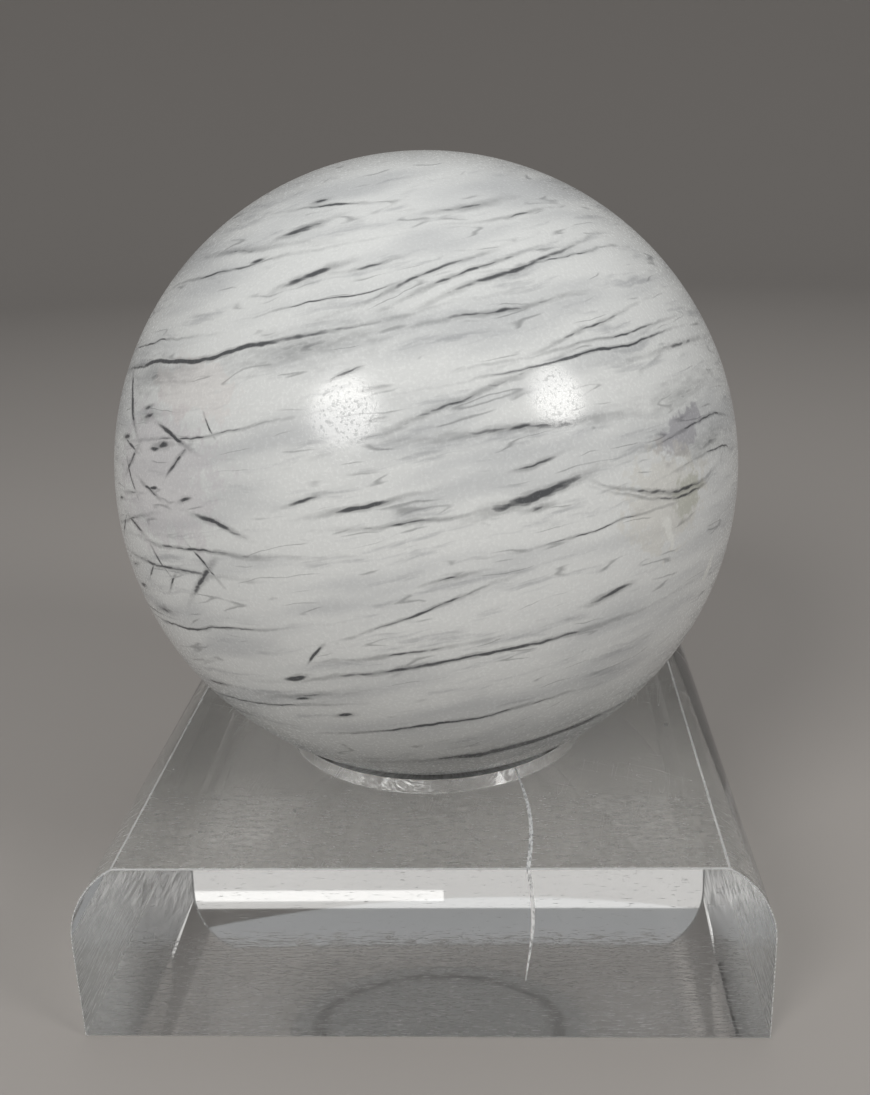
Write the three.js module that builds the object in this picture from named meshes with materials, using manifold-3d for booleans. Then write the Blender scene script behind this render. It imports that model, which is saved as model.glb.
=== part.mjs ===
// A polished marble sphere resting in the round pocket of a clear acrylic block.
// Millimetres, +Z up. The origin is the centre of the block's underside, and the block's flat front faces -Y.

import * as THREE from "three";
import { mergeVertices } from "three/addons/utils/BufferGeometryUtils.js";
import Module from "manifold-3d";

const INCH = 25.4;

// Block: a square slab, its two upper side edges rounded over from front to back.
const BLOCK_SIDE = 7 * INCH;
const BLOCK_HEIGHT = 2 * INCH;
const ROUNDOVER_RADIUS = 1 * INCH;
// The round leaves the upright side smoothly and meets the flat top at a crease, short of a quarter turn.
const ROUNDOVER_SWEEP = THREE.MathUtils.degToRad(60);
const ROUNDOVER_STEPS = 12;

// Sphere and the flat-floored pocket that it stands in.
const SPHERE_RADIUS = 3.5 * INCH;
const SPHERE_SECTORS = 80;
const SPHERE_RINGS = 40;
const POCKET_RADIUS = 46;
const POCKET_DEPTH = 11.7;
const POCKET_SECTORS = 96;
const FLOOR_GAP = 0.3;
// How far the pocket's cutter stands out above the block's top, so that it cuts cleanly.
const CUTTER_OVERLAP = 5;

const POCKET_FLOOR_HEIGHT = BLOCK_HEIGHT - POCKET_DEPTH;
const SPHERE_CENTRE_HEIGHT = POCKET_FLOOR_HEIGHT + FLOOR_GAP + SPHERE_RADIUS;

const MARBLE = new THREE.MeshStandardMaterial({
  name: "polished_marble",
  color: 0xcfd0d2,
  roughness: 0.15,
  metalness: 0,
});
const ACRYLIC = new THREE.MeshStandardMaterial({
  name: "clear_acrylic",
  color: 0xe9edec,
  roughness: 0.05,
  metalness: 0,
  transparent: true,
  opacity: 0.35,
});

const wasm = await Module();
wasm.setup();

// A closed geometry as a solid that can be cut.
function solidOf(geometry) {
  const bare = geometry.clone();
  bare.deleteAttribute("normal");
  bare.deleteAttribute("uv");
  const merged = mergeVertices(bare, 1e-4);
  return new wasm.Manifold(
    new wasm.Mesh({
      numProp: 3,
      vertProperties: new Float32Array(merged.attributes.position.array),
      triVerts: new Uint32Array(merged.index.array),
    }),
  );
}

// A cut solid as a geometry again.
function geometryOf(solid) {
  const { vertProperties, triVerts } = solid.getMesh();
  const geometry = new THREE.BufferGeometry();
  geometry.setAttribute("position", new THREE.BufferAttribute(vertProperties, 3));
  geometry.setIndex(new THREE.BufferAttribute(triVerts, 1));
  geometry.computeVertexNormals();
  return geometry;
}

// The round pocket's cutter, upright and open to above.
function pocketCutter() {
  const height = POCKET_DEPTH + CUTTER_OVERLAP;
  return new THREE.CylinderGeometry(POCKET_RADIUS, POCKET_RADIUS, height, POCKET_SECTORS)
    .rotateX(Math.PI / 2)
    .translate(0, 0, POCKET_FLOOR_HEIGHT + height / 2);
}

// The block seen from the front: x across, y up.
function blockOutline() {
  const half = BLOCK_SIDE / 2;
  const arcX = half - ROUNDOVER_RADIUS;
  const arcY = BLOCK_HEIGHT - ROUNDOVER_RADIUS * Math.sin(ROUNDOVER_SWEEP);
  const outline = new THREE.Shape();
  outline.moveTo(-half, 0);
  outline.lineTo(half, 0);
  outline.absarc(arcX, arcY, ROUNDOVER_RADIUS, 0, ROUNDOVER_SWEEP);
  outline.absarc(-arcX, arcY, ROUNDOVER_RADIUS, Math.PI - ROUNDOVER_SWEEP, Math.PI);
  outline.closePath();
  return outline;
}

// The slab, extruded from its back to its front, less the round pocket in the middle of its top.
function acrylicBase() {
  const slab = new THREE.ExtrudeGeometry(blockOutline(), {
    depth: BLOCK_SIDE,
    bevelEnabled: false,
    curveSegments: ROUNDOVER_STEPS,
  })
    .translate(0, 0, -BLOCK_SIDE / 2)
    .rotateX(Math.PI / 2);
  const pocketed = solidOf(slab).subtract(solidOf(pocketCutter()));
  const base = new THREE.Mesh(geometryOf(pocketed), ACRYLIC);
  base.name = "acrylic_base";
  return base;
}

// The loose ball over the middle of its pocket, its poles above and below.
function marbleSphere() {
  const ball = new THREE.SphereGeometry(SPHERE_RADIUS, SPHERE_SECTORS, SPHERE_RINGS)
    .rotateX(Math.PI / 2)
    .translate(0, 0, SPHERE_CENTRE_HEIGHT);
  const sphere = new THREE.Mesh(ball, MARBLE);
  sphere.name = "marble_sphere";
  return sphere;
}

const ornament = new THREE.Group();
ornament.name = "marble_sphere_on_acrylic_base";
ornament.add(acrylicBase(), marbleSphere());

export default ornament;
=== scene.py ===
"""Dresses a loose marble ball and the clear acrylic block that it rests on.

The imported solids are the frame: they give the ball's and the block's places and sizes. This script models
the fine surface of both, the crack in the acrylic, their finishes, and a plain studio round them. Lengths are
metres, except where a name ends in _mm. The ball's centre is on the Z axis; the block's flat front faces -Y.
"""

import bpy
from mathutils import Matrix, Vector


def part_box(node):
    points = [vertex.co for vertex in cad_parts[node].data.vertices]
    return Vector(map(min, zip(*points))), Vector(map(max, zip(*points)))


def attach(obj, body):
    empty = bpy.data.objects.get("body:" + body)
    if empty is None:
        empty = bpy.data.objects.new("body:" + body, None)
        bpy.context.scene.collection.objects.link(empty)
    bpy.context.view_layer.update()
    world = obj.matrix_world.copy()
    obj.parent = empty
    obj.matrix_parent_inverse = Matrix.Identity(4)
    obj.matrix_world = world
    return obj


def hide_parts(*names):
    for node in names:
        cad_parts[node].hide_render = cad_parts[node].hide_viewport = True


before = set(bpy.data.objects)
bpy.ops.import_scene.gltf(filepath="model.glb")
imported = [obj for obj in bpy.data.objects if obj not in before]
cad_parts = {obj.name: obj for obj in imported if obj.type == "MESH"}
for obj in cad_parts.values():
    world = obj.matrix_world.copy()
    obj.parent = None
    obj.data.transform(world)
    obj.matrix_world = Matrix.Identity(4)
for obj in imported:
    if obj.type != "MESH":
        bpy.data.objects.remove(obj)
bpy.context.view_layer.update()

import logging
import math
import random
from collections.abc import Callable, Iterator
from dataclasses import dataclass, field
from enum import Enum

import bpy
from mathutils import Matrix, Vector

LOG = logging.getLogger("marble_ball")
MM = 0.001
PER_MM = 1.0 / MM

Socket = bpy.types.NodeSocket
Node = bpy.types.Node
Feed = Socket | float | tuple[float, ...] | Vector
Colour = tuple[float, float, float, float]


# Modelling helpers.


def deselect_all() -> None:
    """Leaves object mode with nothing selected."""
    if bpy.context.object and bpy.context.object.mode != "OBJECT":
        bpy.ops.object.mode_set(mode="OBJECT")
    bpy.ops.object.select_all(action="DESELECT")


def start_piece(name: str) -> bpy.types.Object:
    """Names the primitive that was just added and puts its place and scale into its mesh.

    Args:
        name: The piece's name.

    Returns:
        The piece, selected on its own.
    """
    piece = bpy.context.object
    piece.name = piece.data.name = name
    bpy.ops.object.transform_apply(location=True, rotation=True, scale=True)
    return piece


def edit(piece: bpy.types.Object, mode: str = "VERT") -> None:
    """Opens a piece in edit mode with nothing selected.

    Args:
        piece: The piece.
        mode: VERT, EDGE or FACE.
    """
    bpy.context.view_layer.objects.active = piece
    bpy.ops.object.mode_set(mode="EDIT")
    bpy.ops.mesh.select_mode(type=mode)
    bpy.ops.mesh.select_all(action="DESELECT")


def pick(piece: bpy.types.Object, kind: str, test: Callable[[Vector], bool]) -> int:
    """Selects the vertices, edges or faces of a piece in edit mode whose middles pass a test.

    Args:
        piece: The piece, in edit mode.
        kind: vertices, edges or polygons.
        test: Says whether a middle point is wanted.

    Returns:
        How many were selected.
    """
    bpy.ops.mesh.select_all(action="DESELECT")
    bpy.ops.object.mode_set(mode="OBJECT")
    mesh = piece.data
    found = 0
    for part in getattr(mesh, kind):
        if kind == "vertices":
            middle = part.co
        elif kind == "edges":
            middle = (mesh.vertices[part.vertices[0]].co + mesh.vertices[part.vertices[1]].co) / 2
        else:
            middle = part.center
        part.select = test(middle)
        found += part.select
    bpy.ops.object.mode_set(mode="EDIT")
    return found


def close_edit(smooth_below: float) -> None:
    """Turns all faces outwards, leaves edit mode and smooths the shading.

    Args:
        smooth_below: The largest angle between faces that is still shaded as one surface, in radians.
    """
    bpy.ops.mesh.select_all(action="SELECT")
    bpy.ops.mesh.normals_make_consistent(inside=False)
    bpy.ops.object.mode_set(mode="OBJECT")
    bpy.ops.object.shade_smooth_by_angle(angle=smooth_below)


# Node helpers.


@dataclass
class NodeBench:
    """A node tree that is being wired."""

    tree: bpy.types.NodeTree

    def add(self, kind: str, **settings: object) -> Node:
        """Adds a node and sets its options.

        Args:
            kind: The node's type, such as ShaderNodeMath.
            settings: Options by name.

        Returns:
            The node.
        """
        node = self.tree.nodes.new(kind)
        for name, value in settings.items():
            setattr(node, name, value)
        return node

    def feed(self, socket: Socket, value: Feed) -> None:
        """Links a socket, or sets its plain value."""
        if isinstance(value, Socket):
            self.tree.links.new(value, socket)
        else:
            socket.default_value = value

    def math(self, operation: str, *values: Feed, clamp: bool = False) -> Socket:
        """Adds a Math node.

        Args:
            operation: Its operation.
            values: Its inputs in order.
            clamp: Whether the result is held between 0 and 1.

        Returns:
            Its result.
        """
        node = self.add("ShaderNodeMath", operation=operation, use_clamp=clamp)
        for socket, value in zip(node.inputs, values):
            self.feed(socket, value)
        return node.outputs[0]

    def vector(self, operation: str, *values: Feed, scale: Feed | None = None) -> Socket:
        """Adds a Vector Math node.

        Args:
            operation: Its operation.
            values: Its vector inputs in order.
            scale: The factor of a SCALE operation.

        Returns:
            Its result, a number for a length or a dot product.
        """
        node = self.add("ShaderNodeVectorMath", operation=operation)
        for socket, value in zip(node.inputs, values):
            self.feed(socket, value)
        if scale is not None:
            self.feed(node.inputs["Scale"], scale)
        return node.outputs["Value" if operation in ("LENGTH", "DOT_PRODUCT", "DISTANCE") else "Vector"]

    def spread(
        self, value: Feed, low: float, high: float, to_low: float = 0.0, to_high: float = 1.0
    ) -> Socket:
        """Maps a range of a value smoothly to another range, and holds it there.

        Args:
            value: The value.
            low: Where the range starts.
            high: Where the range ends.
            to_low: The result at and below low.
            to_high: The result at and above high.

        Returns:
            The result.
        """
        node = self.add("ShaderNodeMapRange", interpolation_type="SMOOTHSTEP")
        inputs = {"Value": value, "From Min": low, "From Max": high, "To Min": to_low, "To Max": to_high}
        for name, number in inputs.items():
            self.feed(node.inputs[name], number)
        return node.outputs["Result"]

    def noise(self, place: Socket, period: float, detail: float = 2.0, roughness: float = 0.5) -> Node:
        """Adds a noise texture.

        Args:
            place: Where it is read.
            period: The size of its largest lumps, in the units of place.
            detail: How many finer layers it adds.
            roughness: How strong the finer layers are.

        Returns:
            The node.
        """
        node = self.add("ShaderNodeTexNoise")
        self.feed(node.inputs["Vector"], place)
        self.feed(node.inputs["Scale"], 1.0 / period)
        self.feed(node.inputs["Detail"], detail)
        self.feed(node.inputs["Roughness"], roughness)
        return node

    def stretched(self, place: Socket, periods: tuple[float, float, float], shift: float = 0.0) -> Socket:
        """Scales a place so that a pattern of period 1 gets a period for each axis.

        Args:
            place: The place.
            periods: The pattern's periods along X, Y and Z.
            shift: How far the pattern is moved, in periods, so that two layers differ.

        Returns:
            The scaled place.
        """
        node = self.add("ShaderNodeMapping", vector_type="POINT")
        self.feed(node.inputs["Vector"], place)
        self.feed(node.inputs["Scale"], tuple(1.0 / period for period in periods))
        self.feed(node.inputs["Location"], (shift, shift, shift))
        return node.outputs["Vector"]

    def turned(self, place: Socket, axes: Matrix) -> Socket:
        """Reads a place in turned axes.

        Args:
            place: The place.
            axes: The new axes as the columns of a rotation.

        Returns:
            The place along the new axes.
        """
        node = self.add("ShaderNodeMapping", vector_type="TEXTURE")
        self.feed(node.inputs["Vector"], place)
        self.feed(node.inputs["Rotation"], axes.to_euler())
        return node.outputs["Vector"]

    def mix(self, amount: Feed, first: Feed, second: Feed) -> Socket:
        """Mixes two colours, from the first at 0 to the second at 1."""
        node = self.add("ShaderNodeMix", data_type="RGBA")
        self.feed(node.inputs[0], amount)
        self.feed(node.inputs[6], first)
        self.feed(node.inputs[7], second)
        return node.outputs[2]

    def place_mm(self, centre: Vector) -> Socket:
        """Gives the Object coordinates about a centre, in millimetres."""
        node = self.add("ShaderNodeMapping", vector_type="POINT")
        self.feed(node.inputs["Vector"], self.add("ShaderNodeTexCoord").outputs["Object"])
        self.feed(node.inputs["Scale"], (PER_MM, PER_MM, PER_MM))
        self.feed(node.inputs["Location"], -centre * PER_MM)
        return node.outputs["Vector"]

    def use(self, group: bpy.types.NodeTree, **values: Feed) -> Node:
        """Places a node group.

        Args:
            group: The group.
            values: Its inputs by name, with _ for a space.

        Returns:
            The group node.
        """
        node = self.add("ShaderNodeGroup", node_tree=group)
        for name, value in values.items():
            self.feed(node.inputs[name.replace("_", " ")], value)
        return node


def start_material(name: str) -> tuple[bpy.types.Material, NodeBench, Node]:
    """Starts a material on one Principled shader.

    Args:
        name: The material's name.

    Returns:
        The material, its bench and the shader.
    """
    material = bpy.data.materials.new(name)
    material.use_nodes = True
    bench = NodeBench(material.node_tree)
    material.node_tree.nodes.clear()
    shader = bench.add("ShaderNodeBsdfPrincipled")
    output = bench.add("ShaderNodeOutputMaterial")
    bench.feed(output.inputs["Surface"], shader.outputs["BSDF"])
    return material, bench, shader


def start_group(
    name: str, inputs: dict[str, str], outputs: dict[str, str]
) -> tuple[bpy.types.NodeTree, NodeBench, Node, Node]:
    """Starts a shader node group.

    Args:
        name: The group's name.
        inputs: Socket kinds by name, such as Float.
        outputs: Socket kinds by name.

    Returns:
        The group, its bench, and its input and output nodes.
    """
    group = bpy.data.node_groups.new(name, "ShaderNodeTree")
    for sockets, side in ((inputs, "INPUT"), (outputs, "OUTPUT")):
        for socket_name, kind in sockets.items():
            group.interface.new_socket(socket_name, in_out=side, socket_type=f"NodeSocket{kind}")
    bench = NodeBench(group)
    return group, bench, bench.add("NodeGroupInput"), bench.add("NodeGroupOutput")


# Effects that the finishes share.


@dataclass(frozen=True)
class SharedEffects:
    """The node groups that more than one place in the finishes uses."""

    vein: bpy.types.NodeTree
    scratches: bpy.types.NodeTree
    specks: bpy.types.NodeTree

    @classmethod
    def build(cls) -> "SharedEffects":
        """Builds each group once."""
        return cls(vein=cls.vein_group(), scratches=cls.scratch_group(), specks=cls.speck_group())

    @staticmethod
    def vein_group() -> bpy.types.NodeTree:
        """Makes one vein, laid over the veins before it.

        Returns:
            A group that gives the greater of Before and a value that falls evenly from Peak at its middle.
        """
        inputs = {"Place": "Vector", "Middle": "Vector", "Fall": "Float", "Peak": "Float", "Before": "Float"}
        group, bench, given, result = start_group("stone_vein", inputs, {"Veins": "Float"})
        away = bench.vector("DISTANCE", given.outputs["Place"], given.outputs["Middle"])
        vein = bench.math("MULTIPLY_ADD", away, given.outputs["Fall"], given.outputs["Peak"])
        bench.feed(result.inputs["Veins"], bench.math("MAXIMUM", vein, given.outputs["Before"]))
        return group

    @staticmethod
    def scratch_group() -> bpy.types.NodeTree:
        """Makes thin, broken hairlines that run along the X axis of the place that it is given.

        Returns:
            A group that gives 1 in a hairline.
        """
        inputs = {"Place": "Vector", "Gaps": "Float", "Fineness": "Float"}
        group, bench, given, result = start_group("hairline_scratches", inputs, {"Scratches": "Float"})
        lanes = bench.noise(given.outputs["Place"], 1.0, detail=0.0)
        off_middle = bench.math("ABSOLUTE", bench.math("SUBTRACT", lanes.outputs["Fac"], 0.5))
        share_off = bench.math("DIVIDE", off_middle, given.outputs["Fineness"])
        line = bench.math("SUBTRACT", 1.0, share_off, clamp=True)
        bench.feed(result.inputs["Scratches"], bench.math("MULTIPLY", line, given.outputs["Gaps"]))
        return group

    @staticmethod
    def speck_group() -> bpy.types.NodeTree:
        """Makes small round specks scattered through a space.

        Returns:
            A group that gives 1 in the middle of a speck and 0 between specks.
        """
        inputs = {"Place": "Vector", "Spacing": "Float", "Size": "Float", "Share": "Float"}
        group, bench, given, result = start_group("dust_specks", inputs, {"Specks": "Float"})
        closeness = bench.math("DIVIDE", 1.0, given.outputs["Spacing"])
        scaled = bench.vector("SCALE", given.outputs["Place"], scale=closeness)
        cells = bench.add("ShaderNodeTexVoronoi", feature="F1")
        bench.feed(cells.inputs["Vector"], scaled)
        bench.feed(cells.inputs["Scale"], 1.0)
        share_off = bench.math("DIVIDE", cells.outputs["Distance"], given.outputs["Size"])
        near = bench.math("SUBTRACT", 1.0, share_off, clamp=True)
        chance = bench.add("ShaderNodeSeparateColor")
        bench.feed(chance.inputs["Color"], cells.outputs["Color"])
        chosen = bench.math("LESS_THAN", chance.outputs["Red"], given.outputs["Share"])
        bench.feed(result.inputs["Specks"], bench.math("MULTIPLY", near, chosen))
        return group


# The marble ball.

LAYERS_RISE = math.radians(11)  # to the right
LAYERS_DIP = math.radians(7)  # backwards
BEDDING_NORMAL = Vector((-math.tan(LAYERS_RISE), math.tan(LAYERS_DIP), 1.0)).normalized()
VEIN_SEED = 7
VEIN_SPREAD = 0.62  # how far a vein reaches from its middle, as a share of its length
CLEAR_OF_VEINS = -1.3  # the value far from every vein; a vein's value is 0 at its edge
VEIN_CORE = 1.9  # how far a strong vein's value passes full darkness at its middle


def outward_from(longitude: float, latitude: float) -> Vector:
    """Gives the direction out of the ball at a place on it.

    Args:
        longitude: Degrees from the front to the right.
        latitude: Degrees up from the ball's middle.

    Returns:
        A unit vector.
    """
    east, up = math.radians(longitude), math.radians(latitude)
    return Vector((math.sin(east) * math.cos(up), -math.cos(east) * math.cos(up), math.sin(up)))


class Lie(Enum):
    """How a family of veins lies in the stone: how much deeper than long it is."""

    ALONG_LAYERS = 1.0
    ACROSS_LAYERS = 8.0


@dataclass(frozen=True)
class Vein:
    """One vein, by its middle on the ball: longitude grows to the right and latitude upwards, in degrees."""

    longitude: float
    latitude: float
    length_mm: float
    strength: float = 0.7


@dataclass(frozen=True)
class StrewnVeins:
    """Smaller veins strewn by chance over a zone of the ball, each value between the two that are given."""

    count: int
    longitudes: tuple[float, float]
    latitudes: tuple[float, float]
    lengths_mm: tuple[float, float]
    strengths: tuple[float, float]

    def draw(self, chance: random.Random) -> Iterator[Vein]:
        """Draws the veins one after another."""
        for _ in range(self.count):
            yield Vein(
                chance.uniform(*self.longitudes),
                chance.uniform(*self.latitudes),
                chance.uniform(*self.lengths_mm),
                chance.uniform(*self.strengths),
            )


FRONT = {"longitudes": (-60, 65), "latitudes": (-40, 65)}
LEFT_CHEEK = {"longitudes": (-62, -32), "latitudes": (-8, 24)}
RIGHT_CHEEK = {"longitudes": (46, 62), "latitudes": (4, 20)}


@dataclass(frozen=True)
class VeinFamily:
    """Veins that share one direction and one slimness.

    Swing is how far they turn anticlockwise, in degrees, from the line that the stone's layers draw on the
    surface, as seen from straight outside the place that seen_at gives by longitude and latitude.
    """

    swing: float
    slimness: float
    veins: tuple[Vein, ...] = ()
    strewn: tuple[StrewnVeins, ...] = ()
    seen_at: tuple[float, float] = (0.0, 0.0)
    lie: Lie = Lie.ALONG_LAYERS

    def axes(self) -> Matrix:
        """Gives the family's own axes: along its veins, through their thickness, and into the stone.

        Returns:
            A rotation with those axes as its columns.
        """
        outward = outward_from(*self.seen_at)
        swing = Matrix.Rotation(math.radians(self.swing), 3, outward)
        along = swing @ BEDDING_NORMAL.cross(outward).normalized()
        if self.lie is Lie.ALONG_LAYERS:
            across = swing @ BEDDING_NORMAL
        else:
            across = outward.cross(along)
        return Matrix((along, across, along.cross(across))).transposed()

    def shape(self) -> Vector:
        """Gives the proportions of a vein along the family's axes."""
        return Vector((1.0, 1.0 / self.slimness, self.lie.value))

    def members(self) -> Iterator[Vein]:
        """Gives the main veins, then the strewn ones, the same every time."""
        yield from self.veins
        chance = random.Random(VEIN_SEED + self.swing)
        for zone in self.strewn:
            yield from zone.draw(chance)

    def lay(
        self, bench: NodeBench, group: bpy.types.NodeTree, place: Socket, before: Feed, radius_mm: float
    ) -> Socket:
        """Lays the family's veins over the ones before them.

        Args:
            bench: The material's bench.
            group: The vein group.
            place: The place in the stone, in millimetres from the ball's centre.
            before: The veins so far.
            radius_mm: The ball's radius.

        Returns:
            All the veins so far.
        """
        axes, shape = self.axes(), self.shape()
        own = bench.add("ShaderNodeMapping", vector_type="TEXTURE")
        bench.feed(own.inputs["Vector"], place)
        bench.feed(own.inputs["Rotation"], axes.to_euler())
        bench.feed(own.inputs["Scale"], shape)
        for vein in self.members():
            middle = axes.transposed() @ (outward_from(vein.longitude, vein.latitude) * radius_mm)
            peak = vein.strength * VEIN_CORE
            node = bench.use(
                group,
                Place=own.outputs["Vector"],
                Middle=Vector(m / s for m, s in zip(middle, shape)),
                Fall=-peak / (vein.length_mm * VEIN_SPREAD),
                Peak=peak,
                Before=before,
            )
            before = node.outputs["Veins"]
        return before


VEIN_FAMILIES = (
    VeinFamily(
        swing=-1,
        slimness=70,
        veins=(
            Vein(-40, 30, 90, 0.9),
            Vein(35, 30, 55, 0.9),
            Vein(10, -15, 80, 0.8),
            Vein(5, -30, 60, 0.85),
            Vein(-40, -15, 55, 0.8),
            Vein(-35, -30, 50, 0.75),
        ),
        strewn=(StrewnVeins(7, **FRONT, lengths_mm=(24, 50), strengths=(0.45, 0.7)),),
    ),
    VeinFamily(
        swing=-2,
        slimness=32,
        veins=(Vein(25, -40, 70, 1.0),),
        strewn=(StrewnVeins(5, **FRONT, lengths_mm=(20, 34), strengths=(0.4, 0.6)),),
    ),
    VeinFamily(
        swing=0,
        slimness=14,
        veins=(Vein(-5, 10, 20, 0.85),),
        strewn=(StrewnVeins(7, **FRONT, lengths_mm=(10, 22), strengths=(0.4, 0.75)),),
    ),
    VeinFamily(
        swing=1,
        slimness=4.5,
        veins=(Vein(-20, -20, 7, 1.0), Vein(-20, -25, 5, 0.9)),
        strewn=(
            StrewnVeins(6, **FRONT, lengths_mm=(4, 9), strengths=(0.6, 0.9)),
            StrewnVeins(4, **FRONT, lengths_mm=(15, 25), strengths=(0.25, 0.33)),
            StrewnVeins(8, **LEFT_CHEEK, lengths_mm=(4, 8), strengths=(0.6, 0.95)),
        ),
    ),
    VeinFamily(
        swing=10,
        slimness=36,
        veins=(Vein(15, 45, 35, 0.65), Vein(25, 45, 45, 0.65), Vein(10, 25, 40, 0.5)),
        strewn=(StrewnVeins(4, **FRONT, lengths_mm=(18, 34), strengths=(0.5, 0.7)),),
    ),
    VeinFamily(
        swing=9,
        slimness=9,
        veins=(Vein(20, 10, 25, 0.9), Vein(20, 15, 10, 0.7), Vein(-20, 45, 15, 0.8)),
        strewn=(StrewnVeins(5, **FRONT, lengths_mm=(6, 15), strengths=(0.5, 0.85)),),
    ),
    VeinFamily(
        swing=-8,
        slimness=26,
        veins=(Vein(20, 20, 40, 0.55), Vein(-25, 60, 20, 0.7)),
        strewn=(StrewnVeins(4, **FRONT, lengths_mm=(12, 32), strengths=(0.45, 0.65)),),
    ),
    VeinFamily(
        swing=-7,
        slimness=42,
        seen_at=(-40, 0),
        lie=Lie.ACROSS_LAYERS,
        veins=(Vein(-35, 0, 45, 0.65), Vein(-45, -5, 45, 0.65)),
    ),
    VeinFamily(
        swing=-25,
        slimness=11,
        seen_at=(-40, 5),
        lie=Lie.ACROSS_LAYERS,
        veins=(Vein(-30, 5, 15, 0.75),),
        strewn=(StrewnVeins(4, **LEFT_CHEEK, lengths_mm=(7, 16), strengths=(0.7, 0.85)),),
    ),
    VeinFamily(
        swing=-55,
        slimness=12,
        seen_at=(-50, 10),
        lie=Lie.ACROSS_LAYERS,
        veins=(Vein(-60, 20, 20, 0.8),),
        strewn=(
            StrewnVeins(4, **LEFT_CHEEK, lengths_mm=(5, 12), strengths=(0.7, 0.85)),
            StrewnVeins(2, **RIGHT_CHEEK, lengths_mm=(6, 9), strengths=(0.6, 0.8)),
        ),
    ),
    VeinFamily(
        swing=35,
        slimness=9,
        seen_at=(-35, 0),
        lie=Lie.ACROSS_LAYERS,
        veins=(Vein(-35, -5, 15, 0.8), Vein(-15, -15, 7, 1.0)),
        strewn=(
            StrewnVeins(5, **LEFT_CHEEK, lengths_mm=(5, 12), strengths=(0.65, 0.9)),
            StrewnVeins(2, **RIGHT_CHEEK, lengths_mm=(5, 9), strengths=(0.6, 0.8)),
        ),
    ),
)


@dataclass(frozen=True)
class Stain:
    """A patch of another colour in the stone: its middle on the ball, its size and how plainly it shows.

    The white flecks in the cracks are such patches too, painted as glints.
    """

    longitude: float
    latitude: float
    width_mm: float
    height_mm: float
    colour: Colour
    strength: float
    lean: float = 0.0

    def lay(
        self, bench: NodeBench, place: Socket, colour: Socket, rough_edge: Socket, radius_mm: float
    ) -> Socket:
        """Lays the patch over the stone's colour.

        Args:
            bench: The material's bench.
            place: The place in the stone, in millimetres from the ball's centre.
            colour: The stone's colour so far.
            rough_edge: A small value that breaks the patch's edge.
            radius_mm: The ball's radius.

        Returns:
            The colour with the patch.
        """
        outward = outward_from(self.longitude, self.latitude)
        level = Vector((0, 0, 1)).cross(outward).normalized()
        along = Matrix.Rotation(math.radians(self.lean), 3, outward) @ level
        axes = Matrix((along, outward.cross(along), outward)).transposed()
        own = bench.add("ShaderNodeMapping", vector_type="TEXTURE")
        bench.feed(own.inputs["Vector"], place)
        bench.feed(own.inputs["Location"], outward * radius_mm)
        bench.feed(own.inputs["Rotation"], axes.to_euler())
        bench.feed(own.inputs["Scale"], (self.width_mm / 2, self.height_mm / 2, self.width_mm / 2))
        reach = bench.math("ADD", bench.vector("LENGTH", own.outputs["Vector"]), rough_edge)
        return bench.mix(bench.spread(reach, 1.15, 0.75, 0.0, self.strength), colour, self.colour)


MAUVE = (0.58, 0.55, 0.58, 1.0)
ROSE = (0.72, 0.66, 0.64, 1.0)
INK = (0.30, 0.29, 0.33, 1.0)
SAND = (0.66, 0.64, 0.58, 1.0)
OLIVE = (0.50, 0.51, 0.45, 1.0)
# White crack flecks: partly the stone's own white, partly painted glints of light caught in the cracks.
WHITE_FLECK_AND_PAINTED_GLINT = (0.82, 0.83, 0.80, 1.0)
STAINS_AND_PAINTED_GLINTS = (
    Stain(-45, 10, 45, 35, MAUVE, 0.4),
    Stain(-40, 25, 30, 15, ROSE, 0.3),
    Stain(50, 15, 20, 10, INK, 0.55, lean=20),
    Stain(45, 5, 30, 25, SAND, 0.4),
    Stain(50, 5, 12, 10, OLIVE, 0.75, lean=10),
    # Two white crack flecks, painted as glints of light caught in the cracks.
    Stain(45, 0, 3, 10, WHITE_FLECK_AND_PAINTED_GLINT, 0.75, lean=30),
    Stain(60, -10, 3, 8, WHITE_FLECK_AND_PAINTED_GLINT, 0.8, lean=-30),
)


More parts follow.
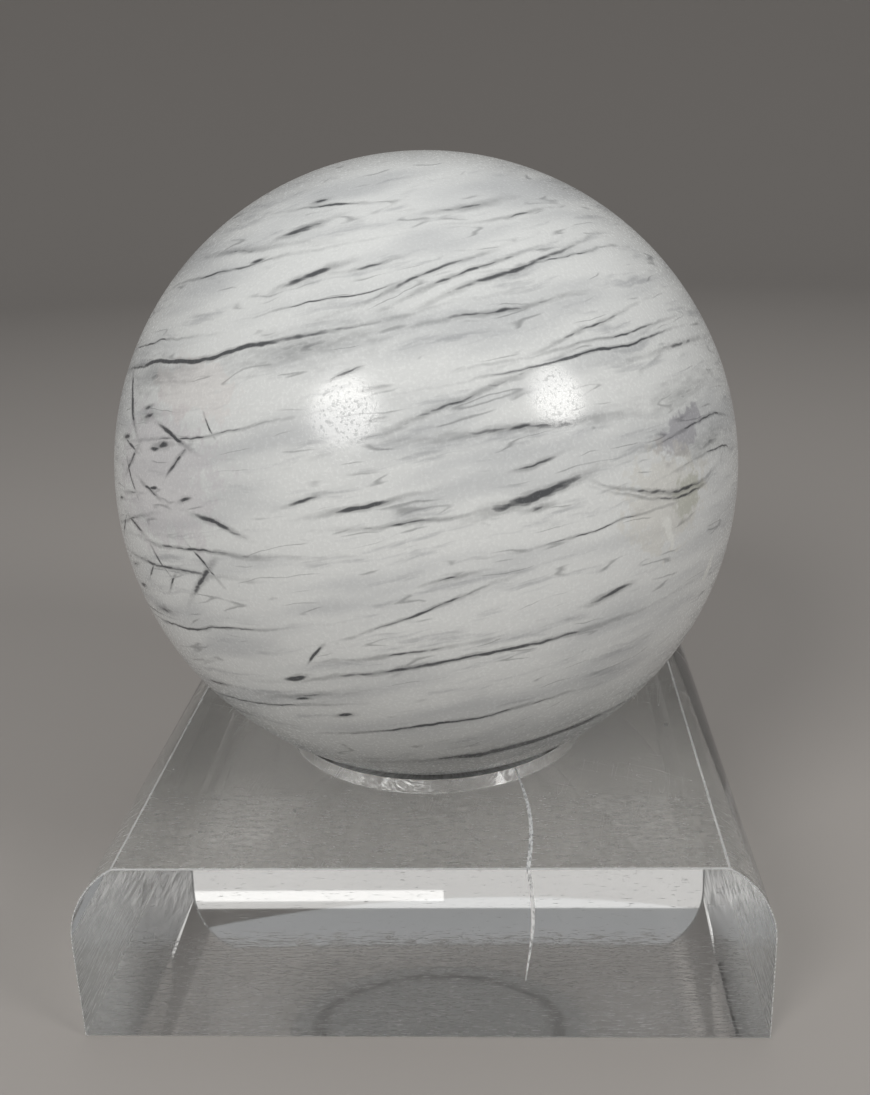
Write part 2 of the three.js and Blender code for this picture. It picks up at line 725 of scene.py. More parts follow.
@dataclass(frozen=True)
class MarbleFinish:
    """Polished white marble with grey bedding, dark veins, a few tan stains and white crack flecks painted as
    glints.
    """

    white: Colour = (0.75, 0.765, 0.76, 1.0)
    pale_grey: Colour = (0.48, 0.495, 0.51, 1.0)
    slate: Colour = (0.20, 0.21, 0.235, 1.0)
    vein: Colour = (0.045, 0.048, 0.055, 1.0)
    polish: float = 0.17

    def make(self, effects: SharedEffects, centre: Vector, radius: float) -> bpy.types.Material:
        """Makes the material.

        Args:
            effects: The shared node groups.
            centre: The ball's centre.
            radius: The ball's radius.

        Returns:
            The material.
        """
        material, bench, shader = start_material("polished_grey_marble")
        stone = bench.place_mm(centre)
        place = self.warped(bench, stone)
        bedded = bench.turned(place, self.bedding_axes())
        colour = self.body(bench, bedded)
        veins: Feed = CLEAR_OF_VEINS
        folded = self.folded(bench, place)
        lumps = bench.noise(stone, 4.0, detail=2.0, roughness=0.7)
        rough_edge = bench.spread(lumps.outputs["Fac"], 0.3, 0.7, -0.35, 0.35)
        for stain in STAINS_AND_PAINTED_GLINTS:
            colour = stain.lay(bench, folded, colour, rough_edge, radius * PER_MM)
        for family in VEIN_FAMILIES:
            veins = family.lay(bench, effects.vein, folded, veins, radius * PER_MM)
        ragged = bench.noise(bench.stretched(bedded, (5.0, 5.0, 1.3)), 1.0, detail=1.0, roughness=0.6)
        smudge = bench.math("MULTIPLY_ADD", ragged.outputs["Fac"], 2.0, veins)
        halo = bench.spread(smudge, 0.10, 2.3, 0.0, 0.42)
        veins = bench.math("SUBTRACT", veins, bench.spread(ragged.outputs["Fac"], 0.36, 0.66, 0.0, 0.45))
        core = bench.spread(veins, -0.15, 0.9, 0.0, 0.92)
        dark = bench.math("MAXIMUM", bench.math("MAXIMUM", core, halo), self.wisps(bench, bedded))
        grains = bench.noise(stone, 0.8, detail=1.0, roughness=0.6).outputs["Fac"]
        veined = bench.mix(dark, colour, self.vein)
        grain_light = bench.spread(grains, 0.3, 0.7, 0.975, 1.02)
        bench.feed(shader.inputs["Base Color"], bench.vector("SCALE", veined, scale=grain_light))
        self.polish_surface(bench, shader, grains)
        return material

    def folded(self, bench: NodeBench, place: Socket) -> Socket:
        """Turns the back half of the space through its centre, so that the front's veins serve the back too."""
        depth = bench.add("ShaderNodeSeparateXYZ")
        bench.feed(depth.inputs["Vector"], place)
        side = bench.math("SIGN", bench.math("MULTIPLY", depth.outputs["Y"], -1.0))
        return bench.vector("SCALE", place, scale=side)

    def warped(self, bench: NodeBench, stone: Socket) -> Socket:
        """Bends the stone's space a little, so that nothing in it runs dead straight."""
        place = stone
        for period, reach in ((24.0, 4.0), (4.0, 0.8)):
            lumps = bench.noise(stone, period, detail=1.0)
            shift = bench.vector("SUBTRACT", lumps.outputs["Color"], (0.5, 0.5, 0.5))
            place = bench.vector("ADD", place, bench.vector("SCALE", shift, scale=reach))
        return place

    def bedding_axes(self) -> Matrix:
        """Gives axes whose Z is square to the stone's layers."""
        along = Vector((0, 1, 0)).cross(BEDDING_NORMAL).normalized()
        return Matrix((along, BEDDING_NORMAL.cross(along), BEDDING_NORMAL)).transposed()

    def body(self, bench: NodeBench, bedded: Socket) -> Socket:
        """Makes the stone's own colour: white, with pale grey beds and soft slate washes.

        Args:
            bench: The material's bench.
            bedded: The place along the stone's layers, in millimetres.

        Returns:
            The colour.
        """
        beds = bench.noise(bench.stretched(bedded, (60.0, 60.0, 12.0)), 1.0, detail=2.0, roughness=0.65)
        in_bed = bench.spread(beds.outputs["Fac"], 0.42, 0.70, 0.0, 0.60)
        colour = bench.mix(in_bed, self.white, self.pale_grey)
        washes = bench.noise(bench.stretched(bedded, (24.0, 24.0, 3.2), 7.0), 1.0, detail=3.0, roughness=0.65)
        return bench.mix(bench.spread(washes.outputs["Fac"], 0.54, 0.76, 0.0, 0.40), colour, self.slate)

    def wisps(self, bench: NodeBench, bedded: Socket) -> Socket:
        """Makes the fine broken lines that run all over the stone along its layers.

        Args:
            bench: The material's bench.
            bedded: The place along the stone's layers, in millimetres.

        Returns:
            How dark they are, from 0 to 1.
        """
        sheets = bench.noise(bench.stretched(bedded, (30.0, 30.0, 4.0), 3.0), 1.0, detail=1.0, roughness=0.4)
        off_middle = bench.math("ABSOLUTE", bench.math("SUBTRACT", sheets.outputs["Fac"], 0.5))
        line = bench.spread(off_middle, 0.028, 0.0)
        patches = bench.noise(bench.stretched(bedded, (13.0, 13.0, 3.2), 3.0), 1.0, detail=1.0)
        return bench.math("MULTIPLY", line, bench.spread(patches.outputs["Fac"], 0.52, 0.66, 0.0, 0.42))

    def polish_surface(self, bench: NodeBench, shader: Node, grains: Socket) -> None:
        """Sets the gloss, with fine grains that are polished a little less.

        Args:
            bench: The material's bench.
            shader: The Principled shader.
            grains: The stone's fine grain, from 0 to 1.
        """
        pits = bench.spread(grains, 0.55, 0.70)
        bench.feed(shader.inputs["Roughness"], bench.math("MULTIPLY_ADD", pits, 0.30, self.polish))
        shader.inputs["IOR"].default_value = 1.42
        bump = bench.add("ShaderNodeBump", invert=True)
        bump.inputs["Strength"].default_value = 0.3
        bump.inputs["Distance"].default_value = 0.03 * MM
        bench.feed(bump.inputs["Height"], pits)
        bench.feed(shader.inputs["Normal"], bump.outputs["Normal"])


@dataclass
class MarbleBall:
    """The loose ball, as a fine mesh."""

    centre: Vector
    radius: float
    cuts: int = 95
    finish: MarbleFinish = field(default_factory=MarbleFinish)

    def build(self) -> bpy.types.Object:
        """Models the ball from a cube, cut finely and drawn out to a sphere.

        Returns:
            The ball.
        """
        deselect_all()
        bpy.ops.mesh.primitive_cube_add(size=2 * self.radius, location=self.centre)
        ball = start_piece("polished_ball")
        edit(ball)
        bpy.ops.mesh.select_all(action="SELECT")
        bpy.ops.mesh.subdivide(number_cuts=self.cuts)
        bpy.ops.transform.tosphere(value=1.0, center_override=self.centre)
        bpy.ops.object.mode_set(mode="OBJECT")
        reach = (ball.data.vertices[0].co - self.centre).length
        edit(ball)
        bpy.ops.mesh.select_all(action="SELECT")
        grow = self.radius / reach
        bpy.ops.transform.resize(value=(grow, grow, grow), center_override=self.centre)
        close_edit(smooth_below=math.radians(30))
        return ball

    def dress(self, ball: bpy.types.Object, effects: SharedEffects) -> None:
        """Gives the ball its finish and its place in the frame."""
        ball.data.materials.append(self.finish.make(effects, self.centre, self.radius))
        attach(ball, "root")
        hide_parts("marble_sphere")


# The acrylic block.


@dataclass(frozen=True)
class AcrylicFinish:
    """Clear cast acrylic in its grades of surface: polished, sawn, milled and scuffed."""

    tint: Colour = (0.985, 0.992, 0.99, 1.0)
    haze: Colour = (0.95, 0.96, 0.96, 1.0)
    frost: Colour = (0.98, 0.98, 0.98, 1.0)
    refraction: float = 1.49
    polish: float = 0.012
    sawn_clearness: float = 0.55
    milled_clearness: float = 0.10
    lamplight: Colour = (0.64, 0.65, 0.65, 1.0)
    # The pocket floor's painted shade: the dark band between its frosted ring and disc.
    shade: Colour = (0.20, 0.195, 0.19, 1.0)
    scuffed_clearness: float = 0.93
    streaks_round: float = 26.0

    def start(
        self, name: str, colour: Colour, clearness: float
    ) -> tuple[bpy.types.Material, NodeBench, Node]:
        """Starts a see-through material.

        Args:
            name: The material's name.
            colour: Its colour.
            clearness: The share of the light that passes through the surface, the rest being scattered.

        Returns:
            The material, its bench and the shader.
        """
        material, bench, shader = start_material(name)
        shader.inputs["Base Color"].default_value = colour
        shader.inputs["Transmission Weight"].default_value = clearness
        shader.inputs["IOR"].default_value = self.refraction
        self.let_lamplight_through(material, bench, shader)
        return material, bench, shader

    def let_lamplight_through(self, material: bpy.types.Material, bench: NodeBench, shader: Node) -> None:
        """Lets the lamps light what is in and under the block: seen from a lamp, its surface is see-through.

        Args:
            material: The material.
            bench: Its bench.
            shader: The shader that every other ray meets.
        """
        see_through = bench.add("ShaderNodeBsdfTransparent")
        see_through.inputs["Color"].default_value = self.lamplight
        path = bench.add("ShaderNodeLightPath")
        either = bench.add("ShaderNodeMixShader")
        bench.feed(either.inputs["Fac"], path.outputs["Is Shadow Ray"])
        bench.feed(either.inputs[1], shader.outputs["BSDF"])
        bench.feed(either.inputs[2], see_through.outputs["BSDF"])
        output = material.node_tree.get_output_node("CYCLES")
        bench.feed(output.inputs["Surface"], either.outputs["Shader"])

    def wear(
        self, bench: NodeBench, shader: Node, roughness: Socket, height: Socket, depth_mm: float
    ) -> None:
        """Wires the worn surface: its roughness, and its height as a bump of the given depth."""
        bench.feed(shader.inputs["Roughness"], roughness)
        bump = bench.add("ShaderNodeBump", invert=True)
        bump.inputs["Strength"].default_value = 0.5
        bump.inputs["Distance"].default_value = depth_mm * MM
        bench.feed(bump.inputs["Height"], height)
        bench.feed(shader.inputs["Normal"], bump.outputs["Normal"])

    def polished(self, effects: SharedEffects, height: float) -> bpy.types.Material:
        """Makes the polished faces, with fine hairlines and, on the top, dust.

        Args:
            effects: The shared node groups.
            height: The block's height.

        Returns:
            The material.
        """
        material, bench, shader = self.start("polished_acrylic", self.tint, 1.0)
        place = bench.place_mm(Vector((0, 0, 0)))
        axis = bench.add("ShaderNodeSeparateXYZ")
        bench.feed(axis.inputs["Vector"], place)
        on_top = bench.math("GREATER_THAN", axis.outputs["Z"], height * PER_MM - 0.5)
        scratches = bench.math("MULTIPLY", self.hairlines(bench, effects, place), on_top)
        dust = bench.use(effects.specks, Place=place, Spacing=2.6, Size=0.10, Share=0.30).outputs["Specks"]
        dust_on_top = bench.math("MULTIPLY", bench.math("MULTIPLY", dust, 0.5), on_top)
        marks = bench.math("MAXIMUM", scratches, dust_on_top)
        bench.feed(shader.inputs["Roughness"], bench.math("ADD", marks, self.polish))
        return material

    def scuffed(self) -> bpy.types.Material:
        """Makes the underside, rubbed in short strokes from side to side."""
        material, bench, shader = self.start("scuffed_acrylic", self.haze, self.scuffed_clearness)
        place = bench.place_mm(Vector((0, 0, 0)))
        axis = bench.add("ShaderNodeSeparateXYZ")
        bench.feed(axis.inputs["Vector"], place)
        rub = bench.noise(bench.stretched(place, (5.0, 1.1, 5.0)), 1.0, detail=3.0, roughness=0.8)
        worn_front = bench.spread(axis.outputs["Y"], -8.0, -24.0, 0.14, 0.0)
        strokes = bench.spread(bench.math("SUBTRACT", rub.outputs["Fac"], worn_front), 0.50, 0.60)
        self.wear(bench, shader, bench.math("MULTIPLY_ADD", strokes, 0.30, self.polish), strokes, 0.035)
        return material

    def hairlines(self, bench: NodeBench, effects: SharedEffects, place: Socket) -> Socket:
        """Makes fine scratches in two directions."""
        patches = bench.noise(place, 18.0, detail=1.0)
        gaps = bench.spread(patches.outputs["Fac"], 0.44, 0.62, 0.0, 0.34)
        scratches: Feed = 0.0
        for turn, periods, fineness in ((82, (70.0, 1.7, 1.7), 0.014), (-24, (46.0, 2.3, 2.3), 0.012)):
            axes = Matrix.Rotation(math.radians(turn), 3, Vector((0.05, 0.08, 1.0)).normalized())
            lanes = bench.stretched(bench.turned(place, axes), periods)
            lines = bench.use(effects.scratches, Place=lanes, Gaps=gaps, Fineness=fineness)
            scratches = bench.math("MAXIMUM", lines.outputs["Scratches"], scratches)
        return scratches

    def sawn(self) -> bpy.types.Material:
        """Makes the satin of the upright sides, with the saw's streaks along them."""
        material, bench, shader = self.start("sawn_acrylic", self.haze, self.sawn_clearness)
        place = bench.place_mm(Vector((0, 0, 0)))
        streaks = bench.noise(bench.stretched(place, (9.0, 16.0, 0.8)), 1.0, detail=2.0, roughness=0.7)
        roughness = bench.spread(streaks.outputs["Fac"], 0.3, 0.7, 0.10, 0.40)
        bench.feed(shader.inputs["Roughness"], roughness)
        return material

    def milled(self) -> bpy.types.Material:
        """Makes the pocket's floor: a frosted disc and ring, in broken streaks that run out from the middle.

        The dark band between the ring and the disc is painted shade.
        """
        material, bench, shader = self.start("milled_acrylic", self.frost, self.milled_clearness)
        place = bench.place_mm(Vector((0, 0, 0)))
        axis = bench.add("ShaderNodeSeparateXYZ")
        bench.feed(axis.inputs["Vector"], place)
        bearing = bench.math("ARCTAN2", axis.outputs["Y"], axis.outputs["X"])
        round_it = bench.math("MULTIPLY", bearing, self.streaks_round)
        reach = bench.vector("LENGTH", bench.vector("MULTIPLY", place, (1.0, 1.0, 0.0)))
        polar = bench.add("ShaderNodeCombineXYZ")
        bench.feed(polar.inputs["X"], round_it)
        bench.feed(polar.inputs["Y"], bench.math("DIVIDE", bench.math("ADD", reach, axis.outputs["Z"]), 5.0))
        streaks = bench.noise(polar.outputs["Vector"], 1.0, detail=2.0, roughness=0.7)
        dulled = bench.spread(streaks.outputs["Fac"], 0.35, 0.65)
        outer_ring = bench.spread(reach, 38.0, 40.0)
        inner_disc = bench.spread(reach, 36.0, 34.0, 0.0, 0.85)
        rings = bench.math("MAXIMUM", outer_ring, inner_disc)
        # Painted shade: where this is 0, the band between the frosted ring and disc takes the dark shade
        # colour.
        frost_not_painted_shade = bench.math("MULTIPLY", rings, bench.spread(dulled, 0.0, 1.0, 0.55, 1.0))
        bench.feed(shader.inputs["Base Color"], bench.mix(frost_not_painted_shade, self.shade, self.frost))
        self.wear(bench, shader, bench.math("MULTIPLY_ADD", dulled, 0.30, 0.30), dulled, 0.12)
        return material


@dataclass
class AcrylicBlock:
    """The clear block with rounded side edges and a round, flat-floored pocket."""

    side: float
    height: float
    ball_centre: Vector
    ball_radius: float
    roundover_sweep: float = math.radians(60)
    roundover_steps: int = 28
    edge_break: float = 0.35 * MM
    pocket_radius: float = 46.0 * MM
    pocket_sectors: int = 192
    floor_gap: float = 0.3 * MM
    rim_break: float = 0.35 * MM
    foot_round: float = 1.2 * MM
    corner_steps: int = 4
    finish: AcrylicFinish = field(default_factory=AcrylicFinish)

    @property
    def roundover_radius(self) -> float:
        """The radius of the rounded side edges, a seventh of the block's side."""
        return self.side / 7

    @property
    def floor_height(self) -> float:
        """The height of the pocket's floor, just under the ball."""
        return self.ball_centre.z - self.ball_radius - self.floor_gap

    def build(self) -> bpy.types.Object:
        """Models the block: a cube, cut and rounded along its sides, with its top opened for the pocket.

        Returns:
            The block.
        """
        deselect_all()
        depth = self.side - 2 * self.edge_break
        bpy.ops.mesh.primitive_cube_add(
            size=1, location=(0, 0, self.height / 2), scale=(self.side, depth, self.height)
        )
        block = start_piece("clear_block")
        self.round_sides(block)
        self.ease_ends(block)
        self.sink_pocket(block)
        close_edit(smooth_below=math.radians(5))
        return block

    def round_sides(self, block: bpy.types.Object) -> None:
        """Cuts each upper side edge to the slope where its round ends, and rounds the corner that is left.

        The round ends right at the crease, so its last points are merged with the crease's own.

        Args:
            block: The block, in object mode.
        """
        half = self.side / 2
        tangent = self.roundover_radius * math.tan(self.roundover_sweep / 2)
        run = self.roundover_radius * (1 - math.cos(self.roundover_sweep))
        corner_height = self.height - run / math.tan(self.roundover_sweep)
        edit(block)
        for side in (-1, 1):
            bpy.ops.mesh.select_all(action="SELECT")
            bpy.ops.mesh.bisect(
                plane_co=(side * (half - run), 0, self.height),
                plane_no=(side * math.cos(self.roundover_sweep), 0, math.sin(self.roundover_sweep)),
                use_fill=True,
                clear_outer=True,
            )
        bpy.ops.mesh.select_mode(type="EDGE")
        pick(
            block,
            "edges",
            lambda m: abs(abs(m.x) - half) < 1e-5 and abs(m.z - corner_height) < 1e-4 and abs(m.y) < 1e-4,
        )
        bpy.ops.mesh.bevel(
            offset_type="OFFSET",
            offset=tangent,
            segments=self.roundover_steps,
            profile=self.circle_profile(),
            affect="EDGES",
        )
        bpy.ops.mesh.select_all(action="SELECT")
        bpy.ops.mesh.remove_doubles(threshold=0.02 * MM)
        pick(
            block,
            "edges",
            lambda m: abs(abs(m.x) - half + run) < 1e-5 and abs(m.z - self.height) < 1e-5 and abs(m.y) < 1e-4,
        )
        bpy.ops.mesh.bevel(offset=self.edge_break, segments=3, profile=0.5, affect="EDGES")

    def circle_profile(self) -> float:
        """Gives the bevel profile whose middle lies on a true circle for this sweep."""
        half_sweep = self.roundover_sweep / 2
        gap = 1 / math.cos(half_sweep) - 1
        diagonal = 2 * math.tan(half_sweep) * math.sin(half_sweep)
        return (1 - gap / diagonal) ** 2

    def ease_ends(self, block: bpy.types.Object) -> None:
        """Raises the front and the back to their full depth with a broken edge all round."""
        flat_end = self.side / 2 - self.edge_break
        bpy.ops.mesh.select_mode(type="FACE")
        for end in (-1, 1):
            pick(block, "polygons", lambda m: abs(m.y - end * flat_end) < 1e-6)
            for inwards, outwards in ((0.3, 0.7), (0.7, 0.3)):
                bpy.ops.mesh.inset(thickness=inwards * self.edge_break, depth=outwards * self.edge_break)

    def sink_pocket(self, block: bpy.types.Object) -> None:
        """Opens the flat top and sinks the round pocket into it, ring by ring."""
        bpy.ops.mesh.select_mode(type="FACE")
        pick(block, "polygons", lambda m: m.length < self.height * 1.01 and abs(m.z - self.height) < 1e-6)
        bpy.ops.mesh.delete(type="ONLY_FACE")
        bpy.ops.mesh.select_mode(type="EDGE")
        radius, level = self.pocket_radius + self.rim_break, self.height
        bpy.ops.mesh.primitive_circle_add(vertices=self.pocket_sectors, radius=radius, location=(0, 0, level))
        bpy.ops.mesh.select_all(action="DESELECT")
        bpy.ops.mesh.select_non_manifold()
        bpy.ops.mesh.fill(use_beauty=True)
        pick(
            block,
            "edges",
            lambda m: abs(m.z - self.height) < 1e-6 and abs(math.hypot(m.x, m.y) - radius) < 2e-5,
        )
        for next_radius, next_level in self.pocket_profile():
            bpy.ops.mesh.extrude_region_move(TRANSFORM_OT_translate={"value": (0, 0, next_level - level)})
            shrink = next_radius / radius
            bpy.ops.transform.resize(value=(shrink, shrink, 1), center_override=(0, 0, next_level))
            radius, level = next_radius, next_level
        bpy.ops.mesh.merge(type="CENTER")

    def pocket_profile(self) -> Iterator[tuple[float, float]]:
        """Gives the pocket's rings after its rim, as radius and height, the last one tiny."""
        for step in range(1, self.corner_steps + 1):
            turn = math.pi / 2 * step / self.corner_steps
            radius = self.pocket_radius + self.rim_break * (1 - math.sin(turn))
            yield radius, self.height - self.rim_break * (1 - math.cos(turn))
        for step in range(self.corner_steps + 1):
            turn = math.pi / 2 * step / self.corner_steps
            radius = self.pocket_radius - self.foot_round * (1 - math.cos(turn))
            yield radius, self.floor_height + self.foot_round * (1 - math.sin(turn))
        yield self.pocket_radius / 2, self.floor_height
        yield 0.01 * MM, self.floor_height

    def grade(self, middle: Vector, normal: Vector) -> int:
        """Tells a face's grade of surface: 0 polished, 1 sawn or worn dull, 2 milled or 3 scuffed."""
        if middle.z < self.height / 2 and normal.z < -0.99:
            return 3
        in_pocket = math.hypot(middle.x, middle.y) < self.pocket_radius
        if in_pocket and abs(middle.z - self.floor_height) < self.foot_round:
            return 2
        crease = self.side / 2 - self.roundover_radius * (1 - math.cos(self.roundover_sweep))
        on_crease = abs(abs(middle.x) - crease) < self.edge_break and middle.z > self.height - self.edge_break
        on_broken_edge = 0.05 < abs(normal.y) < 0.95 and abs(middle.y) > self.side / 2 - self.edge_break
        return 1 if abs(normal.x) > 0.999 or on_crease and normal.z < 0.999 or on_broken_edge else 0

    def dress(self, block: bpy.types.Object, effects: SharedEffects) -> None:
        """Gives the block's faces their grades of finish, and the block its place in the frame."""
        finish = self.finish
        grades = (
            finish.polished(effects, self.height),
            finish.sawn(),
            finish.milled(),
            finish.scuffed(),
        )
        for material in grades:
            block.data.materials.append(material)
        for face in block.data.polygons:
            face.material_index = self.grade(face.center, face.normal)
        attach(block, "root")
        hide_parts("acrylic_base")


# The crack in the block.


@dataclass(frozen=True)
class CrackStep:
    """A place along the crack's mouth.

    Run is the way from the block's upper front edge: backwards over the top, or downwards on the front where
    it is below 0. Depth is a share of the crack's full depth.
    """

    right_mm: float
    run_mm: float
    width_mm: float
    depth: float = 1.0


@dataclass(frozen=True)
class CrackFinish:
    """The crack's broken inner face: silvery white, ragged and half see-through at its sides."""

    silver: Colour = (0.86, 0.87, 0.87, 1.0)
    shade: Colour = (0.52, 0.53, 0.54, 1.0)

    def make(self) -> bpy.types.Material:
        """Makes the material."""
        material, bench, shader = start_material("fractured_acrylic")
        place = bench.place_mm(Vector((0, 0, 0)))
        ribs = bench.noise(bench.stretched(place, (0.5, 1.6, 1.6)), 1.0, detail=2.0, roughness=0.7)
        light = bench.spread(ribs.outputs["Fac"], 0.34, 0.58)
        bench.feed(shader.inputs["Base Color"], bench.mix(light, self.shade, self.silver))
        bench.feed(shader.inputs["Roughness"], bench.math("MULTIPLY_ADD", light, 0.25, 0.30))
        bench.feed(shader.inputs["Alpha"], bench.spread(ribs.outputs["Fac"], 0.30, 0.52, 0.45, 1.0))
        bump = bench.add("ShaderNodeBump")
        bump.inputs["Strength"].default_value = 0.6
        bump.inputs["Distance"].default_value = 0.1 * MM
        bench.feed(bump.inputs["Height"], ribs.outputs["Fac"])
        bench.feed(shader.inputs["Normal"], bump.outputs["Normal"])
        return material


@dataclass
class Crack:
    """The crack from the pocket over the block's top and down its front, as a closed wedge in the acrylic."""

    side: float
    height: float
    back_mm: float = 49.0
    down_mm: float = 33.0
    right_mm: float = 27.2
    sway_mm: float = 1.2
    sways: float = 1.25
    drift_mm: float = 2.0
    widest_mm: float = 1.05
    depth: float = 2.8 * MM
    proud: float = 0.03 * MM
    edge_break: float = 0.11 * MM
    finish: CrackFinish = field(default_factory=CrackFinish)

    @property
    def steps(self) -> tuple[CrackStep, ...]:
        """The crack's steps from the pocket's rim to its end, closer together at the block's edge."""
        top = [self.back_mm * k / 9 for k in range(9, 0, -1)]
        front = [-self.down_mm * k / 6 for k in range(1, 7)]
        return tuple(self.step_at(run) for run in (*top, 2.6, 0.4, 0.0, -0.4, -2.6, *front))

    def step_at(self, run_mm: float) -> CrackStep:
        """Works out the crack at a place.

        It sways to the right, drifts to the left near the pocket, and tapers to both ends.

        Args:
            run_mm: The way from the block's upper front edge.

        Returns:
            The step there.
        """
        share = run_mm / self.back_mm if run_mm > 0 else -run_mm / self.down_mm
        drift = self.drift_mm * share**3 if run_mm > 0 else 0.0
        right = self.right_mm + self.sway_mm * math.sin(math.pi * self.sways * share) - drift
        along = (self.back_mm - run_mm) / (self.back_mm + self.down_mm)
        width = self.widest_mm * math.sqrt(math.sin(math.pi * min(max(along, 0.01), 0.99)))
        return CrackStep(right, run_mm, width, min(1.0, width / 0.6))

    def turn(self, step: CrackStep) -> float:
        """Gives how far the crack has turned from the top towards the front."""
        reach = step.run_mm * MM / (0.9 * self.depth)
        return math.radians(45) * (1 - max(-1.0, min(1.0, reach)))

    def mouth(self, step: CrackStep) -> Vector:
        """Gives the middle of the crack's mouth, a hair proud of the block's surface."""
        run = step.run_mm * MM
        turn = self.turn(step)
        out = self.proud if run else -self.edge_break
        place = Vector((step.right_mm * MM, max(run, 0) - self.side / 2, self.height + min(run, 0)))
        return place + Vector((0, -math.sin(turn), math.cos(turn))) * out

    def build(self) -> bpy.types.Object:
        """Models the crack: a narrow triangle is drawn along the mouth and turned over the block's edge.

        Returns:
            The crack.
        """
        deselect_all()
        steps = self.steps
        first = steps[0]
        place, turn = self.mouth(first), self.turn(first)
        bpy.ops.mesh.primitive_circle_add(
            vertices=3, radius=1, fill_type="NGON", location=(0, 0, -0.5), rotation=(-math.pi / 2, 0, 0)
        )
        crack = start_piece("crack_in_block")
        edit(crack)
        bpy.ops.mesh.select_all(action="SELECT")
        size = (first.width_mm * MM / math.sqrt(3), 1, first.depth * self.depth / 1.5)
        bpy.ops.transform.resize(value=size, center_override=(0, 0, 0))
        bpy.ops.transform.translate(value=place)
        for before, step in zip(steps, steps[1:]):
            next_place, next_turn = self.mouth(step), self.turn(step)
            bpy.ops.mesh.extrude_region_move(TRANSFORM_OT_translate={"value": next_place - place})
            deepen = step.depth / before.depth
            widen = step.width_mm / before.width_mm
            bpy.ops.transform.resize(value=(widen, deepen, deepen), center_override=next_place)
            if next_turn != turn:
                bpy.ops.transform.rotate(value=turn - next_turn, orient_axis="X", center_override=next_place)
            place, turn = next_place, next_turn
        close_edit(smooth_below=math.radians(40))
        return crack

    def dress(self, crack: bpy.types.Object) -> None:
        """Gives the crack its finish and its place in the frame."""
        crack.data.materials.append(self.finish.make())
        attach(crack, "root")


# The studio.


class LampShape(Enum):
    """The outlines that a soft light can have."""

    ROUND = "ELLIPSE"
    LONG = "RECTANGLE"


@dataclass(frozen=True)
class SoftLight:
    """A round or long soft light that faces the ball, hung a little aside to the right if aside says so."""

    name: str
    azimuth: float
    elevation: float
    distance: float
    size: tuple[float, float]
    watts: float
    colour: tuple[float, float, float] = (1.0, 0.99, 0.97)
    shape: LampShape = LampShape.ROUND
    aside: float = 0.0

    def hang(self, target: Vector) -> None:
        """Hangs the light and points it at the target.

        Args:
            target: What it faces. Azimuth 0 is in front of it and grows to the right, in degrees.
        """
        data = bpy.data.lights.new(self.name, "AREA")
        data.shape = self.shape.value
        data.size, data.size_y = self.size
        data.energy = self.watts
        data.color = self.colour
        lamp = bpy.data.objects.new(self.name, data)
        bpy.context.scene.collection.objects.link(lamp)
        east, up = math.radians(self.azimuth), math.radians(self.elevation)
        outward = Vector((math.sin(east) * math.cos(up), -math.cos(east) * math.cos(up), math.sin(up)))
        lamp.location = target + outward * self.distance + Vector((self.aside, 0, 0))
        lamp.rotation_euler = (-outward).to_track_quat("-Z", "Y").to_euler()
        lamp.visible_camera = False
        lamp.visible_glossy = self.shape is LampShape.ROUND


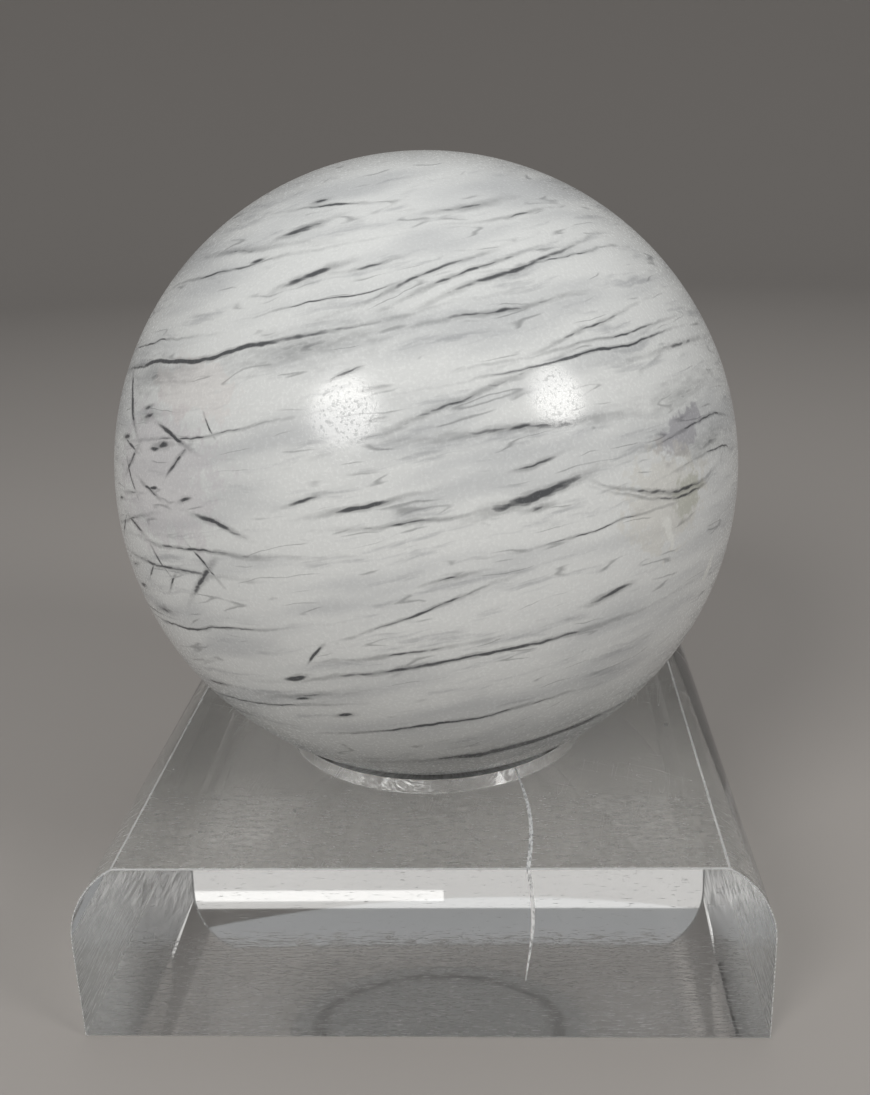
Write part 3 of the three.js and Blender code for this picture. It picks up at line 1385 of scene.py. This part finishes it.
@dataclass
class Studio:
    """A plain pale floor that curves up into a plain wall all round, soft lights and the camera."""

    target: Vector
    floor_radius: float = 1.5
    curve_radius: float = 0.8
    wall_height: float = 1.6
    floor_drop: float = 0.2 * MM
    camera_place: Vector = field(default_factory=lambda: Vector((0.0245, -0.3416, 0.2218)))
    camera_pitch: float = math.radians(-18.7)
    camera_yaw: float = math.radians(2.4)
    camera_roll: float = math.radians(-1.5)
    lens_mm: float = 39.55
    shift: tuple[float, float] = (-0.0274, -0.0084)

    def lights(self) -> tuple[SoftLight, ...]:
        """Gives the lights: two round ones in front, a big one overhead and two long ones behind."""
        return (
            SoftLight("round_light_left", -27, 32, 1.2, (0.48, 0.48), 6.8),
            SoftLight("round_light_right", 55, 30, 1.2, (0.39, 0.39), 4.6),
            SoftLight("overhead_light", 180, 78, 1.6, (1.6, 1.6), 3.0),
            SoftLight("broad_light_behind", 180, 29.3, 1.436, (1.7, 0.073), 0.20, shape=LampShape.LONG),
            SoftLight(
                "slim_light_behind", 180, 30.1, 1.448, (0.75, 0.015), 0.017, shape=LampShape.LONG, aside=-0.46
            ),
        )

    def build(self) -> None:
        """Builds the floor, the lights, the world and the camera."""
        self.lay_floor()
        for light in self.lights():
            light.hang(self.target)
        self.fill_world()
        self.set_camera()

    def lay_floor(self) -> None:
        """Models the floor as a disc whose rim is drawn out and up in a curve."""
        deselect_all()
        bpy.ops.mesh.primitive_circle_add(
            vertices=128, radius=self.floor_radius, fill_type="NGON", location=(0, 0, -self.floor_drop)
        )
        floor = start_piece("studio_floor")
        edit(floor, "EDGE")
        bpy.ops.mesh.select_all(action="SELECT")
        radius, level = self.floor_radius, -self.floor_drop
        steps = 12
        profile = [
            (
                self.floor_radius + self.curve_radius * math.sin(math.pi / 2 * k / steps),
                self.curve_radius * (1 - math.cos(math.pi / 2 * k / steps)) - self.floor_drop,
            )
            for k in range(1, steps + 1)
        ]
        profile.append((self.floor_radius + self.curve_radius, self.wall_height))
        bpy.ops.mesh.region_to_loop()
        for next_radius, next_level in profile:
            bpy.ops.mesh.extrude_edges_move(TRANSFORM_OT_translate={"value": (0, 0, next_level - level)})
            grow = next_radius / radius
            bpy.ops.transform.resize(value=(grow, grow, 1), center_override=(0, 0, next_level))
            radius, level = next_radius, next_level
        bpy.ops.object.mode_set(mode="OBJECT")
        bpy.ops.object.shade_smooth_by_angle(angle=math.radians(40))
        floor.data.materials.append(self.floor_material())

    def floor_material(self) -> bpy.types.Material:
        """Makes the plain pale floor."""
        material, _, shader = start_material("pale_studio_floor")
        shader.inputs["Base Color"].default_value = (0.43, 0.405, 0.385, 1.0)
        shader.inputs["Roughness"].default_value = 0.7
        shader.inputs["Specular IOR Level"].default_value = 0.0
        return material

    def fill_world(self) -> None:
        """Fills the world with an even soft grey light."""
        world = bpy.data.worlds.new("soft_grey_world")
        bpy.context.scene.world = world
        world.use_nodes = True
        background = world.node_tree.nodes["Background"]
        background.inputs["Color"].default_value = (0.98, 0.99, 1.0, 1.0)
        background.inputs["Strength"].default_value = 0.28

    def set_camera(self) -> None:
        """Sets the camera at its place, with its turn built up from yaw, pitch and roll."""
        data = bpy.data.cameras.new("camera")
        data.lens = self.lens_mm
        data.shift_x, data.shift_y = self.shift
        camera = bpy.data.objects.new("camera", data)
        bpy.context.scene.collection.objects.link(camera)
        camera.location = self.camera_place
        turn = (
            Matrix.Rotation(self.camera_yaw, 4, "Z")
            @ Matrix.Rotation(math.pi / 2 + self.camera_pitch, 4, "X")
            @ Matrix.Rotation(self.camera_roll, 4, "Z")
        )
        camera.rotation_euler = turn.to_euler()
        bpy.context.scene.camera = camera


def set_light_paths() -> None:
    """Lets light bounce often enough inside the clear block."""
    cycles = bpy.context.scene.cycles
    cycles.max_bounces = 6
    cycles.diffuse_bounces = 1
    cycles.glossy_bounces = 3
    cycles.transmission_bounces = 6
    bpy.context.scene.view_settings.view_transform = "Standard"


def main() -> None:
    """Builds the studio, the block and the ball in order, and reports each."""
    logging.basicConfig(level=logging.INFO, format="%(message)s")
    ball_low, ball_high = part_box("marble_sphere")
    block_low, block_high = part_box("acrylic_base")
    centre = (Vector(ball_low) + Vector(ball_high)) / 2
    radius = (ball_high[0] - ball_low[0]) / 2
    Studio(target=centre).build()
    LOG.info("studio built")
    effects = SharedEffects.build()
    block_maker = AcrylicBlock(block_high[0] - block_low[0], block_high[2], centre, radius)
    block = block_maker.build()
    block_maker.dress(block, effects)
    LOG.info("%s: %d faces", block.name, len(block.data.polygons))
    crack_maker = Crack(block_maker.side, block_maker.height)
    crack = crack_maker.build()
    crack_maker.dress(crack)
    LOG.info("%s: %d faces", crack.name, len(crack.data.polygons))
    ball_maker = MarbleBall(centre, radius)
    ball = ball_maker.build()
    ball_maker.dress(ball, effects)
    LOG.info("%s: %d faces", ball.name, len(ball.data.polygons))
    set_light_paths()


if __name__ == "__main__":
    main()
